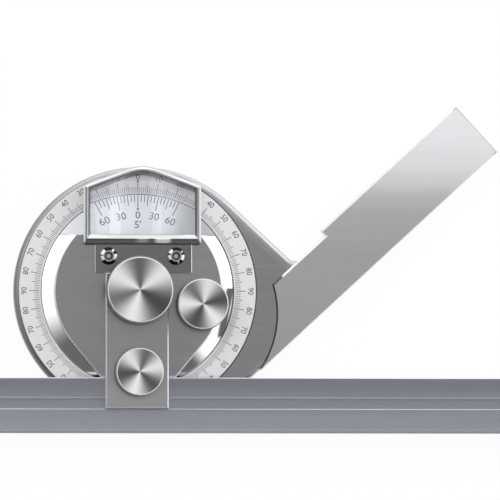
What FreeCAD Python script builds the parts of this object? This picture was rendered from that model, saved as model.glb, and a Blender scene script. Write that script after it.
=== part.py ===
import FreeCAD, Part
import math
import os

from FreeCAD import Vector

os.makedirs("parts", exist_ok=True)

# Bevel protractor, in millimetres. The swivel axis is the Z axis and the flat
# back lies on z = 0. The blade runs along X at rest and the reader looks along -Z.

# General clearances
running_fit = 0.03
seat_fit = 0.02
face_gap = 0.1
curved_gap = 0.25

# Frame: a round dished plate with a shoulder and a neck that carries the stock
frame_radius = 40.0
frame_thickness = 5.0
floor_thickness = 1.6
edge_round = 1.5
shoulder_growth = 2.6
shoulder_start = 112.0
shoulder_normal = 46.9
heel_round = 12.0
neck_round = 3.0
neck_set_in = 0.3

# Stock: the ground bar of the fixed arm, lapped over the frame's neck
arm_angle = 42.7
stock_edge_outside = 6.0
stock_proud = 1.0
stock_width = 19.8
stock_near_width = 18.0
stock_step_at = 57.7
stock_length_end = 117.0
stock_tip_at = 34.3
stock_heel_at = 12.2
stock_curve = 33.2
stock_bevel = 0.7
stock_edge_break = 0.3
lap_thickness = 3.0
lap_end = 57.0
stock_screw_radius = 1.5
stock_screw_head = 2.8
stock_screw_head_height = 1.2
stock_screw_bite = 2.2
stock_dowel_radius = 1.5
stock_dowel_end_gap = 0.8
stock_screw_places = ((42.0, 37.0), (51.0, 33.0), (51.0, 41.0))
stock_dowel_places = ((36.5, 42.0), (47.0, 37.0))
stock_step_run = 0.2
neck_corner = 1.0

# Hexagon sockets of the countersunk screws, as shares of the shank and the head
socket_share = 1.1
socket_depth_share = 0.6

# Dial ring, let into the front of the frame
rim_width = 1.6
dial_width = 7.1
dial_proud = 1.0
dial_thickness = 1.4
dial_chamfer = 0.15
dial_screw_radius = 0.9
dial_screw_head = 1.6
dial_screw_head_height = 0.7
dial_screw_bite = 0.9
dial_screw_count = 3
dial_screw_start = 20.0

# Gear train of the fine movement
ring_teeth = 100
pinion_teeth = 16
pressure_angle = 20.0
gear_rim = 3.375
gear_ledge = 2.05
gear_thickness = 1.8
gear_backlash = 0.08
tooth_addendum = 0.85
tooth_dedendum = 1.25
pinion_addendum = 1.0
pinion_direction = -12.2
pinion_end_gap = 0.2
pinion_shaft_radius = 1.5
pinion_bush_wall = 1.1
gear_screw_radius = 0.8
gear_screw_head = 1.4
gear_screw_head_height = 0.6
gear_screw_end_gap = 0.3
gear_screw_count = 3
gear_screw_start = 65.0

# Centre bearing
journal_radius = 4.0
journal_end_gap = 0.15
bush_wall = 2.5
boss_radius = 12.0
boss_rise = 0.7
stud_flange_radius = 7.6
stud_flange_thickness = 0.8
stud_flange_gap = 0.05
back_cap_thickness = 0.6
back_cap_radius = 8.4
stud_key_radius = 3.0
stud_key_flat = 2.4
stud_thread_radius = 2.5
stud_thread_gap = 0.1
thrust_washer_thickness = 0.5
thrust_washer_inset = 0.5

# Turret: the disc that turns inside the dial and the plate fixed on it
disc_thickness = 2.5
polish_width = 3.85
polish_drop = 1.0
plate_thickness = 3.6
plate_chamfer = 0.4
plate_side_angle = 219.5
turret_screw_radius = 1.25
turret_screw_head = 2.0
turret_screw_head_height = 0.8
turret_screw_bite = 2.4
turret_screw_share = 0.735
turret_screw_angles = (25.0, 155.0, 270.0)
turret_dowel_radius = 1.0
turret_dowel_share = 0.588
turret_dowel_angles = (115.0, 250.0)
turret_dowel_length = 4.3

# Vernier plate, let into the turret disc behind the window
vernier_share = 0.583
vernier_thickness = 1.2
vernier_below_disc = 0.2

# Window: bracket, bezel and magnifier
window_x = 1.15
bracket_x = 1.55
bracket_half_width = 15.75
bracket_bottom = 5.7
bracket_thickness = 1.2
bracket_chamfer = 0.25
bracket_screw_spacing = 21.8
bracket_screw_drop = 7.0
bracket_screw_radius = 1.25
bracket_screw_head = 2.8
bracket_screw_head_height = 1.5
bracket_screw_bite = 2.6
hex_across_flats = 2.2
hex_depth = 0.9
bezel_half_width = 19.0
bezel_overlap = 3.3
bezel_eaves_drop = 6.0
bezel_apex_rise = 1.3
bezel_apex_round = 16.0
bezel_corner_round = 1.0
bezel_inner_round = 0.4
bezel_wall = 1.9
bezel_height = 6.5
bezel_bevel = 0.95
bezel_outer_bevel = 0.8
bezel_foot_bevel = 1.7
bezel_foot_drop = 1.2
bezel_lip = 0.6
bezel_lip_height = 1.6
bezel_dial_gap = 0.3
bezel_foot_set_in = 0.4
bezel_screw_radius = 0.8
bezel_screw_head = 1.15
bezel_screw_head_height = 0.4
bezel_screw_bite = 0.7
bezel_screw_spacing = 26.0
bezel_screw_inset = 1.8
lens_thickness = 1.6
lens_rise = 2.4
lens_belly = 2.0
lens_fit = 0.05

# Blade and its seat
blade_length = 300.0
blade_left = 80.0
blade_width = 18.0
blade_thickness = 2.5
blade_standoff = 0.85
blade_edge_break = 0.3
blade_front_bevel = 0.7
blade_front_bevel_depth = 0.35
blade_end_angle_left = 45.0
blade_end_angle_right = 60.0
groove_from_edge = 6.8
groove_width = 3.3
groove_depth = 1.1
groove_lip = 0.2
foot_short_of_edge = 0.6
foot_corner = 1.0

# Blade clamp
bar_x = -0.5
bar_half_width = 10.2
bar_thickness = 2.0
bar_top = 5.7
bar_chamfer = 0.4
bar_lift = 0.6
lip_side_gap = 0.15
lip_end_gap = 0.1
clamp_stud_radius = 1.25
clamp_stud_from_edge = 1.6
clamp_stud_bite = 3.0
clamp_stud_in_knob = 4.4
spring_x = 6.5
spring_above_edge = 7.2
spring_slot_depth = 1.4
spring_length = 7.0
spring_width = 2.4
spring_thickness = 0.3
spring_play = 0.15

# Knobs
knob_chamfer = 0.25
knob_dish = 0.35
knob_land = 1.0
knurl_root = 0.03
knurl_pitch = 0.8
knob_bore_end_gap = 0.6
centre_knob_radius = 11.1
centre_knob_height = 6.4
centre_knob_knurl = 0.5
centre_knob_hub = 3.6
centre_knob_lift_gap = 0.4
knob_washer_thickness = 0.5
knob_washer_radius = 3.9
hub_clearance = 0.7
fine_knob_radius = 8.4
fine_knob_height = 6.2
fine_knob_knurl = 0.25
fine_knob_hub = 3.2
fine_knob_hub_height = 0.6
fine_knob_shaft_in = 4.6
blade_knob_radius = 7.9
blade_knob_height = 5.6
blade_knob_knurl = 0.25
blade_knob_hub = 3.2
blade_knob_hub_height = 0.8
blade_knob_bore_gap = 0.3
grub_radius = 1.0
grub_length = 3.5
grub_height = 3.1

# Heights above the back face
dial_top = frame_thickness + dial_proud
dial_seat = dial_top - dial_thickness
stock_top = frame_thickness + stock_proud
disc_top = max(dial_top, stock_top) + 2 * face_gap
disc_bottom = disc_top - disc_thickness
plate_top = disc_top + plate_thickness
blade_bottom = plate_top - blade_thickness
ledge_height = disc_bottom - face_gap
gear_top = floor_thickness + gear_thickness
boss_top = disc_bottom + boss_rise
washer_top = boss_top + thrust_washer_thickness
vernier_top = disc_top - vernier_below_disc
vernier_seat = vernier_top - vernier_thickness
bracket_top = plate_top + bracket_thickness
bezel_top = vernier_top + bezel_height
bar_bottom = plate_top
bar_front = bar_bottom + bar_thickness

# Radii from the swivel axis
dial_outer = frame_radius - rim_width
dial_inner = dial_outer - dial_width
turret_radius = dial_inner - curved_gap
plate_radius = turret_radius - polish_width
gear_outer = turret_radius - gear_ledge
gear_module = 2 * (gear_outer - gear_rim) / (ring_teeth + 2 * tooth_dedendum)
ring_pitch_radius = gear_module * ring_teeth / 2
pinion_pitch_radius = gear_module * pinion_teeth / 2
pinion_distance = ring_pitch_radius - pinion_pitch_radius
bush_radius = journal_radius + running_fit + bush_wall
turret_screw_circle = plate_radius * turret_screw_share
turret_dowel_circle = plate_radius * turret_dowel_share
stock_edge = frame_radius + stock_edge_outside

# Places
vernier_chord = turret_radius * vernier_share
bracket_screw_y = vernier_chord - bracket_screw_drop
bezel_bottom = vernier_chord - bezel_overlap
bezel_eaves = frame_radius - bezel_eaves_drop
bezel_apex = frame_radius + bezel_apex_rise
blade_upper = -(plate_radius + blade_standoff)
blade_lower = blade_upper - blade_width
plate_lower = blade_upper + face_gap
foot_lower = blade_lower + foot_short_of_edge
groove_upper = blade_upper - groove_from_edge
groove_lower = groove_upper - groove_width
bar_left = bar_x - bar_half_width
bar_right = bar_x + bar_half_width
bar_lower = groove_lower + lip_end_gap
clamp_stud_y = plate_lower + clamp_stud_from_edge
spring_y = plate_lower + spring_above_edge
spring_bottom = plate_top - spring_slot_depth
bracket_upper = vernier_chord - face_gap
plate_chord = vernier_chord - 2 * face_gap
turn = math.radians(pinion_direction)
pinion_x = pinion_distance * math.cos(turn)
pinion_y = pinion_distance * math.sin(turn)

UP = Vector(0, 0, 1)


def polar(radius, degrees, z=0.0):
    angle = math.radians(degrees)
    return Vector(radius * math.cos(angle), radius * math.sin(angle), z)


def arm(along, across, z=0.0):
    """A point on the fixed arm: along it from the axis, and out towards its edge."""
    forward = polar(along, arm_angle)
    outward = polar(across, arm_angle - 90)
    return forward + outward + Vector(0, 0, z)


def disc(radius, bottom, top, x=0.0, y=0.0):
    return Part.makeCylinder(radius, top - bottom, Vector(x, y, bottom))


def ring(outer, inner, bottom, top, x=0.0, y=0.0):
    return disc(outer, bottom, top, x, y).cut(disc(inner, bottom, top, x, y))


def box(x0, x1, y0, y1, z0, z1):
    return Part.makeBox(x1 - x0, y1 - y0, z1 - z0, Vector(x0, y0, z0))


def prism(edges, bottom, top):
    """A straight block on a closed outline of edges that are drawn at z = 0."""
    face = Part.Face(Part.Wire(edges))
    block = face.extrude(Vector(0, 0, top - bottom))
    block.translate(Vector(0, 0, bottom))
    return block


def polygon(points):
    return Part.makePolygon(list(points) + [points[0]]).Edges


def line(start, end):
    return Part.LineSegment(start, end).toShape()


def arc(start, middle, end):
    return Part.Arc(start, middle, end).toShape()


def arc_about(centre, radius, start, end):
    """An arc round centre, between two angles in degrees."""
    middle = centre + polar(radius, (start + end) / 2)
    return arc(centre + polar(radius, start), middle, centre + polar(radius, end))


def rounded_path(corners):
    """Lines through (point, radius) corners, with tangent arcs of those radii."""
    edges = []
    here = corners[0][0]
    for index in range(1, len(corners) - 1):
        corner, radius = corners[index]
        back = (corners[index - 1][0] - corner).normalize()
        ahead = (corners[index + 1][0] - corner).normalize()
        half = back.getAngle(ahead) / 2
        reach = radius / math.tan(half)
        inward = (back + ahead).normalize()
        middle = corner + inward * (radius / math.sin(half) - radius)
        start = corner + back * reach
        end = corner + ahead * reach
        edges.append(line(here, start))
        edges.append(arc(start, middle, end))
        here = end
    edges.append(line(here, corners[-1][0]))
    return edges


def crossing(point, direction, other, towards):
    """Where two lines in the plane cross, each given by a point and a direction."""
    gap = other - point
    area = direction.x * towards.y - direction.y * towards.x
    share = (gap.x * towards.y - gap.y * towards.x) / area
    return point + direction * share


def revolved(profile, x=0.0, y=0.0):
    """A turned piece from (radius, height) points, on an upright axis at x, y."""
    points = [Vector(radius, 0, height) for radius, height in profile]
    face = Part.Face(Part.makePolygon(points + [points[0]]))
    solid = face.revolve(Vector(0, 0, 0), UP, 360)
    solid.translate(Vector(x, y, 0))
    return solid


def edges_at(shape, height):
    """The edges that lie wholly in one level plane."""
    found = []
    for edge in shape.Edges:
        bounds = edge.BoundBox
        if abs(bounds.ZMin - height) < 1e-4 and abs(bounds.ZMax - height) < 1e-4:
            found.append(edge)
    return found


def compound(pieces):
    return Part.makeCompound(pieces)


def save(name, shape):
    shape.exportStep("parts/" + name + ".step")


# Fixed arm


def frame_outline():
    centre = polar(-shoulder_growth, shoulder_start)
    shoulder_radius = frame_radius + shoulder_growth
    shoulder_point = centre + polar(shoulder_radius, shoulder_normal)
    shoulder_run = polar(1, shoulder_normal - 90)
    forward = polar(1, arm_angle)
    inner = stock_edge - stock_near_width + neck_set_in
    outer = stock_edge - neck_set_in
    neck = crossing(shoulder_point, shoulder_run, arm(0, inner), forward)
    heel_line = Vector(0, -frame_radius, 0)
    heel = crossing(heel_line, Vector(1, 0, 0), arm(0, outer), forward)
    corners = [
        (shoulder_point, 0),
        (neck, neck_round),
        (arm(lap_end, inner), neck_corner),
        (arm(lap_end, outer), neck_corner),
        (heel, heel_round),
        (heel_line, 0),
    ]
    edges = rounded_path(corners)
    origin = Vector(0, 0, 0)
    edges.append(arc_about(origin, frame_radius, 270, shoulder_start))
    edges.append(arc_about(centre, shoulder_radius, shoulder_start, shoulder_normal))
    return edges


def stock_outline():
    inner = stock_edge - stock_near_width
    far_inner = stock_edge - stock_width
    tip = arm(stock_tip_at, inner)
    heel = arm(stock_heel_at, stock_edge)
    step = arm(stock_step_at, inner)
    step_end = arm(stock_step_at - stock_step_run, far_inner)
    end_inner = arm(stock_length_end, far_inner)
    end_outer = arm(stock_length_end, stock_edge)
    chord = tip - heel
    half = chord.Length / 2
    bulge = stock_curve - math.sqrt(stock_curve**2 - half**2)
    outward = Vector(chord.y, -chord.x, 0).normalize()
    middle = (tip + heel) * 0.5 + outward * bulge
    return [
        line(tip, step),
        line(step, step_end),
        line(step_end, end_inner),
        line(end_inner, end_outer),
        line(end_outer, heel),
        arc(heel, middle, tip),
    ]


def countersunk(point, head_radius, head_height, shank_radius, bottom, length, fit=0.0):
    """A flat-headed screw that goes in from below, or with a fit, its hole."""
    profile = [
        (0, bottom),
        (head_radius + fit, bottom),
        (shank_radius + fit, bottom + head_height),
        (shank_radius + fit, bottom + length),
        (0, bottom + length),
    ]
    return revolved(profile, point.x, point.y)


def screw(sizes):
    point, head_radius, head_height, shank_radius, bottom, length = sizes
    flats = shank_radius * socket_share
    socket_top = bottom + head_height * socket_depth_share
    return countersunk(*sizes).cut(hexagon(point.x, point.y, flats, bottom, socket_top))


def screw_hole(sizes):
    return countersunk(*sizes, seat_fit)


def hexagon(x, y, flats, bottom, top):
    radius = flats / math.sqrt(3)
    points = [Vector(x, y, 0) + polar(radius, 60 * side) for side in range(6)]
    return prism(polygon(points), bottom, top)


def stock_screw_sizes(place):
    return (
        arm(place[0], place[1]),
        stock_screw_head,
        stock_screw_head_height,
        stock_screw_radius,
        0.0,
        lap_thickness + stock_screw_bite,
    )


def stock_dowel(place, fit):
    point = arm(place[0], place[1])
    top = stock_top - stock_dowel_end_gap
    radius = stock_dowel_radius + fit
    return disc(radius, stock_dowel_end_gap - fit, top + fit, point.x, point.y)


def around(count, radius, start):
    return [polar(radius, start + 360 / count * index) for index in range(count)]


def dial_screw_sizes(point):
    return (
        point,
        dial_screw_head,
        dial_screw_head_height,
        dial_screw_radius,
        0.0,
        dial_seat + dial_screw_bite,
    )


def gear_screw_sizes(point):
    return (
        point,
        gear_screw_head,
        gear_screw_head_height,
        gear_screw_radius,
        0.0,
        gear_top - gear_screw_end_gap,
    )


dial_screw_circle = dial_inner + dial_width / 2
dial_screw_points = around(dial_screw_count, dial_screw_circle, dial_screw_start)
gear_screw_circle = gear_outer - gear_rim / 2
gear_screw_points = around(gear_screw_count, gear_screw_circle, gear_screw_start)


def make_frame():
    blank = prism(frame_outline(), 0, frame_thickness)
    body = blank.makeFillet(edge_round, edges_at(blank, frame_thickness))
    lap = prism(stock_outline(), lap_thickness, stock_top)
    body = body.cut(lap)
    tools = [
        disc(dial_outer + seat_fit, dial_seat, stock_top),
        disc(dial_inner, ledge_height, stock_top),
        ring(gear_outer + seat_fit, boss_radius, floor_thickness, stock_top),
        disc(back_cap_radius + seat_fit, 0, floor_thickness),
        disc(bush_radius + seat_fit, 0, stock_top),
    ]
    for point in dial_screw_points:
        tools.append(screw_hole(dial_screw_sizes(point)))
    for point in gear_screw_points:
        tools.append(screw_hole(gear_screw_sizes(point)))
    for place in stock_screw_places:
        tools.append(screw_hole(stock_screw_sizes(place)))
    for place in stock_dowel_places:
        tools.append(stock_dowel(place, seat_fit))
    boss = ring(boss_radius, bush_radius + seat_fit, floor_thickness, boss_top)
    return body.cut(tools).fuse(boss).removeSplitter()


def stock_upper_edges(body):
    """Its long straight upper edges: those beside the dial, and the others."""
    near = arm((stock_tip_at + stock_step_at) / 2, stock_edge - stock_near_width, stock_top)
    shortest = 2 * (stock_width - stock_near_width)
    beside, others = [], []
    for edge in edges_at(body, stock_top):
        straight = edge.Curve.TypeId == "Part::GeomLine"
        if not straight or edge.Length < shortest:
            continue
        gap = edge.distToShape(Part.Vertex(near))[0]
        if gap < 2 * stock_bevel:
            beside.append(edge)
        else:
            others.append(edge)
    return beside, others


def make_stock():
    body = prism(stock_outline(), 0, stock_top)
    beside, others = stock_upper_edges(body)
    body = body.makeChamfer(stock_bevel, beside)
    beside, others = stock_upper_edges(body)
    body = body.makeChamfer(stock_edge_break, others)
    reach = 2 * stock_length_end
    under = [
        arm(-reach, -reach),
        arm(lap_end + seat_fit, -reach),
        arm(lap_end + seat_fit, reach),
        arm(-reach, reach),
    ]
    tools = [prism(polygon(under), -1, lap_thickness)]
    for place in stock_screw_places:
        tools.append(screw_hole(stock_screw_sizes(place)))
    for place in stock_dowel_places:
        tools.append(stock_dowel(place, seat_fit))
    return body.cut(tools)


def make_dial_ring():
    profile = [
        (dial_inner, dial_seat),
        (dial_outer, dial_seat),
        (dial_outer, dial_top - dial_chamfer / 2),
        (dial_outer - dial_chamfer / 2, dial_top),
        (dial_inner + dial_chamfer, dial_top),
        (dial_inner, dial_top - dial_chamfer),
    ]
    body = revolved(profile)
    holes = [screw_hole(dial_screw_sizes(point)) for point in dial_screw_points]
    return body.cut(holes)


# Gears


def involute(radius, base_radius):
    if radius <= base_radius:
        return 0.0
    slope = math.sqrt((radius / base_radius) ** 2 - 1)
    return slope - math.atan(slope)


def flank(radius, pitch_radius, teeth, slack):
    """Half the angle, in degrees, of a tooth or of a ring's tooth space there."""
    base_radius = pitch_radius * math.cos(math.radians(pressure_angle))
    half = math.pi / (2 * teeth) + slack / (2 * pitch_radius)
    half += involute(pitch_radius, base_radius) - involute(radius, base_radius)
    return math.degrees(half)


def tooth_outline(radii, pitch_radius, teeth, slack, direction):
    points = []
    for tooth in range(teeth):
        middle = direction + 360 / teeth * tooth
        for radius in radii:
            half = flank(radius, pitch_radius, teeth, slack)
            points.append(polar(radius, middle - half))
        for radius in reversed(radii):
            half = flank(radius, pitch_radius, teeth, slack)
            points.append(polar(radius, middle + half))
    return polygon(points)


def make_ring_gear():
    tip = ring_pitch_radius - tooth_addendum * gear_module
    root = ring_pitch_radius + tooth_dedendum * gear_module
    radii = [tip, root]
    inside = tooth_outline(
        radii, ring_pitch_radius, ring_teeth, gear_backlash, pinion_direction
    )
    body = disc(gear_outer, floor_thickness, gear_top)
    tools = [prism(inside, floor_thickness, gear_top)]
    for point in gear_screw_points:
        tools.append(screw_hole(gear_screw_sizes(point)))
    return body.cut(tools)


def make_pinion_shaft():
    root = pinion_pitch_radius - tooth_dedendum * gear_module
    tip = pinion_pitch_radius + pinion_addendum * gear_module
    radii = [root, pinion_pitch_radius, tip]
    outline = tooth_outline(
        radii, pinion_pitch_radius, pinion_teeth, -gear_backlash, pinion_direction
    )
    gear = prism(outline, floor_thickness + pinion_end_gap, gear_top)
    gear.translate(Vector(pinion_x, pinion_y, 0))
    top = fine_knob_bottom + fine_knob_shaft_in
    shaft = disc(pinion_shaft_radius, gear_top, top, pinion_x, pinion_y)
    return gear.fuse(shaft)


def make_pinion_bush():
    outer = pinion_shaft_radius + running_fit + pinion_bush_wall
    inner = pinion_shaft_radius + running_fit
    return ring(outer, inner, disc_bottom + face_gap, plate_top, pinion_x, pinion_y)


def pinion_bush_hole():
    outer = pinion_shaft_radius + running_fit + pinion_bush_wall
    return disc(outer + seat_fit, 0, plate_top + 1, pinion_x, pinion_y)


# Centre bearing


def make_pivot_bush():
    return ring(bush_radius, journal_radius + running_fit, floor_thickness, boss_top)


def make_thrust_washer():
    outer = boss_radius - thrust_washer_inset
    inner = journal_radius + curved_gap
    return ring(outer, inner, boss_top, washer_top)


def make_back_cap():
    return disc(back_cap_radius, 0, back_cap_thickness)


def key_section(fit, bottom, top):
    """The stud's round section with two flats that stop it from turning."""
    radius = stud_key_radius + fit
    flat = stud_key_flat + fit
    return disc(radius, bottom, top).common(box(-radius, radius, -flat, flat, bottom, top))


def make_centre_stud():
    flange_top = floor_thickness - stud_flange_gap
    journal_top = washer_top - journal_end_gap
    key_top = plate_top - 2 * face_gap
    flange = disc(stud_flange_radius, flange_top - stud_flange_thickness, flange_top)
    journal = disc(journal_radius, flange_top, journal_top)
    key = key_section(0, journal_top, key_top)
    top = centre_knob_top - knob_dish - 2 * knob_bore_end_gap
    thread = disc(stud_thread_radius - stud_thread_gap, key_top, top)
    return flange.fuse([journal, key, thread]).removeSplitter()


# Turret


def half_plane(y0, z0, z1):
    reach = 2 * frame_radius
    return box(-reach, reach, y0, reach, z0, z1)


def turret_screw_sizes(degrees):
    return (
        polar(turret_screw_circle, degrees),
        turret_screw_head,
        turret_screw_head_height,
        turret_screw_radius,
        disc_bottom,
        disc_thickness + turret_screw_bite,
    )


def turret_dowel(degrees, fit):
    point = polar(turret_dowel_circle, degrees)
    bottom = disc_top - turret_dowel_length / 2
    top = disc_top + turret_dowel_length / 2
    radius = turret_dowel_radius + fit
    return disc(radius, bottom - fit, top + fit, point.x, point.y)


def make_turret_disc():
    profile = [
        (0, disc_bottom),
        (turret_radius, disc_bottom),
        (turret_radius, disc_top - polish_drop),
        (plate_radius, disc_top),
        (0, disc_top),
    ]
    body = revolved(profile)
    tools = [
        disc(boss_radius + 2 * curved_gap, 0, washer_top),
        disc(stud_key_radius + curved_gap, 0, plate_top),
        half_plane(vernier_chord, vernier_seat, plate_top),
        pinion_bush_hole(),
    ]
    for degrees in turret_screw_angles:
        tools.append(screw_hole(turret_screw_sizes(degrees)))
    for degrees in turret_dowel_angles:
        tools.append(turret_dowel(degrees, seat_fit))
    return body.cut(tools)


def plate_outline():
    left = polar(plate_radius, plate_side_angle)
    right = Vector(-left.x, left.y, 0)
    left_run = polar(1, plate_side_angle + 90)
    level = Vector(0, plate_lower, 0)
    left_foot = crossing(left, left_run, level, Vector(1, 0, 0))
    right_foot = Vector(-left_foot.x, left_foot.y, 0)
    half = math.sqrt(plate_radius**2 - plate_chord**2)
    left_top = Vector(-half, plate_chord, 0)
    right_top = Vector(half, plate_chord, 0)
    return [
        arc(left_top, Vector(-plate_radius, 0, 0), left),
        line(left, left_foot),
        line(left_foot, right_foot),
        line(right_foot, right),
        arc(right, Vector(plate_radius, 0, 0), right_top),
        line(right_top, left_top),
    ]


def make_turret_plate():
    body = prism(plate_outline(), disc_top, plate_top)
    rim = []
    for edge in edges_at(body, plate_top):
        if edge.BoundBox.YMin < plate_chord - plate_chamfer:
            rim.append(edge)
    body = body.makeChamfer(plate_chamfer, rim)
    foot_left = Vector(bar_left, plate_lower, 0)
    foot_right = Vector(bar_right, plate_lower, 0)
    foot_path = [
        (foot_left, 0),
        (Vector(bar_left, foot_lower, 0), foot_corner),
        (Vector(bar_right, foot_lower, 0), foot_corner),
        (foot_right, 0),
    ]
    foot_edges = rounded_path(foot_path) + [line(foot_right, foot_left)]
    foot = prism(foot_edges, disc_top, blade_bottom)
    body = body.fuse(foot).removeSplitter()
    tools = [
        key_section(running_fit, disc_top, plate_top),
        pinion_bush_hole(),
        clamp_stud_blank(seat_fit),
    ]
    for degrees in turret_screw_angles:
        tools.append(screw_hole(turret_screw_sizes(degrees)))
    for degrees in turret_dowel_angles:
        tools.append(turret_dowel(degrees, seat_fit))
    for side in (-1, 1):
        tools.append(spring_slot(side * spring_x))
    for x in bracket_screw_xs:
        bottom = plate_top - bracket_screw_bite - seat_fit
        radius = bracket_screw_radius + seat_fit
        tools.append(disc(radius, bottom, plate_top, x, bracket_screw_y))
    return body.cut(tools)


def spring_slot(x):
    across = spring_width / 2 + spring_play
    along = spring_length / 2 + spring_play
    return box(
        x - across, x + across, spring_y - along, spring_y + along, spring_bottom, plate_top
    )


def make_vernier_plate():
    plate = disc(turret_radius, vernier_seat, vernier_top)
    return plate.common(half_plane(vernier_chord, vernier_seat, vernier_top))


# Window

bracket_screw_xs = (
    window_x - bracket_screw_spacing / 2,
    window_x + bracket_screw_spacing / 2,
)
bezel_screw_xs = (
    window_x - bezel_screw_spacing / 2,
    window_x + bezel_screw_spacing / 2,
)
bezel_screw_y = bezel_bottom + bezel_screw_inset


def bezel_screw_sizes(x):
    return (
        Vector(x, bezel_screw_y, 0),
        bezel_screw_head,
        bezel_screw_head_height,
        bezel_screw_radius,
        plate_top,
        bracket_thickness + bezel_screw_bite,
    )


def make_bracket():
    left = bracket_x - bracket_half_width
    right = bracket_x + bracket_half_width
    body = box(left, right, bracket_bottom, bracket_upper, plate_top, bracket_top)
    body = body.makeChamfer(bracket_chamfer, edges_at(body, bracket_top))
    tools = []
    for x in bracket_screw_xs:
        radius = bracket_screw_radius + seat_fit
        tools.append(disc(radius, plate_top, bracket_top, x, bracket_screw_y))
    for x in bezel_screw_xs:
        tools.append(screw_hole(bezel_screw_sizes(x)))
    return body.cut(tools)


def make_bracket_screw(x):
    top = bracket_top + bracket_screw_head_height
    round_off = bracket_screw_head_height / 2
    profile = [
        (0, plate_top - bracket_screw_bite),
        (bracket_screw_radius, plate_top - bracket_screw_bite),
        (bracket_screw_radius, bracket_top),
        (bracket_screw_head, bracket_top),
        (bracket_screw_head, top - round_off),
        (bracket_screw_head - round_off / 3, top - round_off / 3),
        (bracket_screw_head - round_off, top),
        (0, top),
    ]
    body = revolved(profile, x, bracket_screw_y)
    socket = hexagon(x, bracket_screw_y, hex_across_flats, top - hex_depth, top)
    return body.cut(socket)


def house(inset, bottom, corner):
    """The window's outline, taken in by inset: straight sides and a low gable."""
    half = bezel_half_width - inset
    slope = math.atan2(bezel_apex - bezel_eaves, bezel_half_width)
    apex = Vector(window_x, bezel_apex - inset / math.cos(slope), 0)
    eaves = apex.y - half * math.tan(slope)
    corners = [
        (Vector(window_x, bottom, 0), 0),
        (Vector(window_x + half, bottom, 0), corner),
        (Vector(window_x + half, eaves, 0), corner),
        (apex, bezel_apex_round - inset),
        (Vector(window_x - half, eaves, 0), corner),
        (Vector(window_x - half, bottom, 0), corner),
        (Vector(window_x, bottom, 0), 0),
    ]
    return rounded_path(corners)


def bevel_tool(inset, bottom, width, top):
    """What a bevel takes off the upper edge of the window's opening."""
    lower = Part.Wire(house(inset, bottom, bezel_inner_round))
    upper = Part.Wire(house(inset - width, bottom - width, bezel_inner_round))
    lower.translate(Vector(0, 0, top - width))
    upper.translate(Vector(0, 0, top))
    return Part.makeLoft([lower, upper], True, True)


def foot_bevel():
    """What the wide bevel takes off the lower bar of the window frame."""
    left = window_x - 2 * bezel_half_width
    points = [
        Vector(left, bezel_bottom, bezel_top - bezel_foot_drop),
        Vector(left, bezel_bottom + bezel_foot_bevel, bezel_top),
        Vector(left, bezel_bottom, bezel_top + 1),
        Vector(left, bezel_bottom - 1, bezel_top + 1),
        Vector(left, bezel_bottom - 1, bezel_top - bezel_foot_drop),
    ]
    face = Part.Face(Part.makePolygon(points + [points[0]]))
    return face.extrude(Vector(4 * bezel_half_width, 0, 0))


def make_bezel():
    outer = prism(house(0, bezel_bottom, bezel_corner_round), vernier_top, bezel_top)
    outer = outer.makeChamfer(bezel_outer_bevel, edges_at(outer, bezel_top))
    pocket_inset = bezel_wall - bezel_lip
    pocket_top = bezel_top - bezel_lip_height
    opening = house(bezel_wall, bracket_upper, bezel_inner_round)
    pocket = house(pocket_inset, bracket_upper, bezel_inner_round)
    over_dial = disc(2 * frame_radius, vernier_top, vernier_top + bezel_dial_gap)
    foot = disc(turret_radius - bezel_foot_set_in, vernier_top, bezel_top)
    under_bar = box(
        window_x - 2 * bezel_half_width,
        window_x + 2 * bezel_half_width,
        bezel_bottom - 1,
        vernier_chord + face_gap,
        vernier_top - 1,
        bracket_top,
    )
    tools = [
        prism(opening, vernier_top, bezel_top),
        prism(pocket, vernier_top, pocket_top),
        bevel_tool(bezel_wall, bracket_upper, bezel_bevel, bezel_top),
        over_dial.cut(foot),
        under_bar,
        foot_bevel(),
    ]
    for x in bezel_screw_xs:
        tools.append(screw_hole(bezel_screw_sizes(x)))
    return outer.cut(tools)


def lens_roller(rise, crown, side):
    """A long cylinder along Y whose skin is one of the lens's curved faces."""
    half = bezel_half_width - bezel_wall
    radius = (half**2 + rise**2) / (2 * rise)
    start = Vector(window_x, 0, crown - side * radius)
    return Part.makeCylinder(radius, 2 * bezel_apex, start, Vector(0, 1, 0))


def make_lens():
    seat = bezel_top - bezel_lip_height
    bottom = seat - lens_thickness
    lower = bracket_upper + lens_fit
    corner = bezel_inner_round
    outline = house(bezel_wall + lens_fit, lower, corner)
    body = prism(outline, bottom - lens_belly, seat + lens_rise)
    body = body.common(lens_roller(lens_rise, seat + lens_rise, 1))
    body = body.common(lens_roller(lens_belly, bottom - lens_belly, -1))
    inset = bezel_wall - bezel_lip + lens_fit
    flange = prism(house(inset, lower, corner), bottom, seat)
    return body.fuse(flange).removeSplitter()


# Blade


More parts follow.
